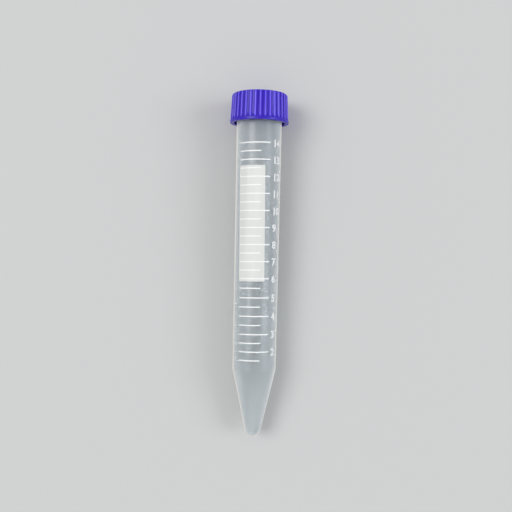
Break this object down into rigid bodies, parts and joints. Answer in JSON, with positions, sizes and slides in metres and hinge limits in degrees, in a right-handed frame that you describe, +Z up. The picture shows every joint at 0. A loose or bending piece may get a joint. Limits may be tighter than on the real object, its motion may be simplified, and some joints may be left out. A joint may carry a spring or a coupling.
{
  "type": "conical centrifuge tube",
  "caption": "Translucent conical-bottom tube with a ribbed blue screw cap and a white volume scale, lying on its side.",
  "frame": {"origin": "on the bench surface, under the middle of the closed tube's bounding box", "axes": "+Y runs from the tube's tip towards its cap, level with the bench; +Z is up; +X is to the right seen from above with the cap away from the viewer"},
  "size_m": [0.0208, 0.1222, 0.0208],
  "materials": {
    "natural_polypropylene": "translucent, softly glossy",
    "blue_plastic": "satin"
  },
  "bodies": {
    "tube": {"conical_tube": "natural_polypropylene"},
    "cap": {"screw_cap": "blue_plastic"}
  },
  "joints": [
    {"name": "cap_lift", "type": "slide", "parent": "tube", "child": "cap", "axis": [0, 0.9995, 0.0312], "range_m": [0, 0.03]}
  ]
}
